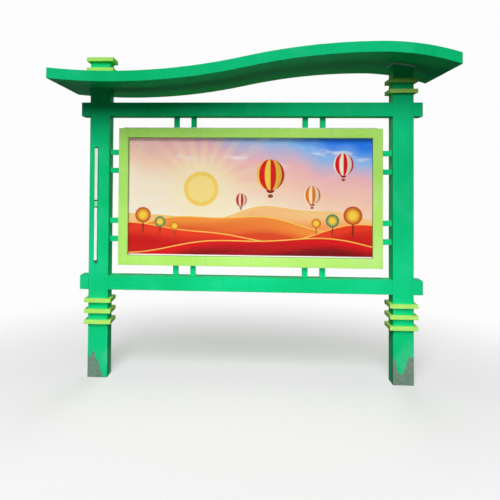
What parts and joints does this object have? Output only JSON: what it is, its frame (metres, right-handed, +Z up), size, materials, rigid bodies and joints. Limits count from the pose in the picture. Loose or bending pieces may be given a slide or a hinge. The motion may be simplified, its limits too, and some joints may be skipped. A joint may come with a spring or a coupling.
{
  "type": "notice board",
  "caption": "Two-post public notice board: glazed poster case with a lift-up door on gas struts, hung on stubs between posts and beams under a wave-shaped box roof.",
  "frame": {"origin": "on the ground, midway between the two posts", "axes": "+X along the board to the viewer's right, +Y from the front to the rear, +Z up"},
  "size_m": [2.86, 0.93, 2.4404],
  "materials": {
    "green_paint": "semi-gloss emerald green paint on steel, dusty and splashed near the ground",
    "lime_paint": "semi-gloss lime green paint on steel",
    "sealant": "matt grey sealant",
    "white_trim": "white plastic strip",
    "pale_clip": "pale green plastic clip",
    "zinc_steel": "zinc plated steel",
    "backing_panel": "plain composite board",
    "poster_print": null,
    "clamp_aluminium": "plain extruded aluminium",
    "clear_glazing": "clear polished sheet",
    "black_rubber": "black foam rubber",
    "bright_steel": "bright plated steel",
    "black_paint": "black painted tube"
  },
  "bodies": {
    "frame": {"left_post": "green_paint", "right_post": "green_paint", "left_base_plate": "green_paint", "right_base_plate": "green_paint", "left_hand_hole_cover": "green_paint", "right_hand_hole_cover": "green_paint", "top_beam": "green_paint", "bottom_beam": "green_paint", "top_beam_ends": "green_paint", "bottom_beam_ends": "green_paint", "roof_soffit": "green_paint", "roof_top_sheet": "green_paint", "roof_front_fascia": "green_paint", "roof_rear_fascia": "green_paint", "roof_left_end": "green_paint", "roof_right_end": "green_paint", "roof_ribs": "green_paint", "top_stubs": "green_paint", "bottom_stubs": "green_paint", "left_stubs": "green_paint", "right_stubs": "green_paint", "left_lower_collars": "lime_paint", "right_lower_collars": "lime_paint", "right_upper_collars": "lime_paint", "left_finial_collar": "lime_paint", "left_finial_cap": "lime_paint", "case_top_tube": "lime_paint", "case_bottom_tube": "lime_paint", "case_left_tube": "lime_paint", "case_right_tube": "lime_paint", "case_back_panel": "lime_paint", "right_roof_seal": "sealant", "upper_accent_strip": "white_trim", "lower_accent_strip": "white_trim", "accent_strip_clip": "pale_clip", "board_rails": "zinc_steel", "hinge_case_leaf": "zinc_steel", "strut_case_brackets": "zinc_steel", "backing_board": "backing_panel", "poster_sheet": "poster_print", "poster_clamps": "clamp_aluminium", "hinge_pin": "bright_steel", "lock_barrels": "bright_steel", "lock_nuts": "bright_steel"},
    "door": {"door_top_rail": "lime_paint", "door_bottom_rail": "lime_paint", "door_left_stile": "lime_paint", "door_right_stile": "lime_paint", "door_glazing": "clear_glazing", "glazing_bead": "clamp_aluminium", "door_gasket": "black_rubber", "hinge_door_leaf": "zinc_steel", "strut_door_brackets": "zinc_steel", "lock_keepers": "zinc_steel"},
    "left_strut": {"left_strut_tube": "black_paint"},
    "left_rod": {"left_strut_rod": "bright_steel"},
    "right_strut": {"right_strut_tube": "black_paint"},
    "right_rod": {"right_strut_rod": "bright_steel"},
    "left_lock": {"left_lock_cam": "bright_steel"},
    "right_lock": {"right_lock_cam": "bright_steel"}
  },
  "joints": [
    {"name": "door_lift", "type": "hinge", "parent": "frame", "child": "door", "pos_m": [0, -0.0385, 1.8758], "axis": [-1, 0, 0], "range_deg": [0, 75]},
    {"name": "left_strut_swing", "type": "hinge", "parent": "frame", "child": "left_strut", "pos_m": [-0.9445, 0.0215, 1.5258], "axis": [1, 0, 0], "range_deg": [0, 14.7]},
    {"name": "left_strut_extend", "type": "slide", "parent": "left_strut", "child": "left_rod", "axis": [0, -0.1465, 0.9892], "range_m": [0, 0.0642]},
    {"name": "right_strut_swing", "type": "hinge", "parent": "frame", "child": "right_strut", "pos_m": [0.9445, 0.0215, 1.5258], "axis": [1, 0, 0], "range_deg": [0, 14.7]},
    {"name": "right_strut_extend", "type": "slide", "parent": "right_strut", "child": "right_rod", "axis": [0, -0.1465, 0.9892], "range_m": [0, 0.0642]},
    {"name": "left_lock_turn", "type": "hinge", "parent": "frame", "child": "left_lock", "pos_m": [-0.73, 0.025, 0.841], "axis": [0, 0, 1], "range_deg": [0, 90]},
    {"name": "right_lock_turn", "type": "hinge", "parent": "frame", "child": "right_lock", "pos_m": [0.73, 0.025, 0.841], "axis": [0, 0, -1], "range_deg": [0, 90]}
  ],
  "couplings": [
    {"joint": "left_strut_swing", "follows": "door_lift", "ratio": 0.19539},
    {"joint": "left_strut_extend", "follows": "door_lift", "m_per_rad": 0.048894},
    {"joint": "right_strut_swing", "follows": "door_lift", "ratio": 0.19539},
    {"joint": "right_strut_extend", "follows": "door_lift", "m_per_rad": 0.048894}
  ]
}
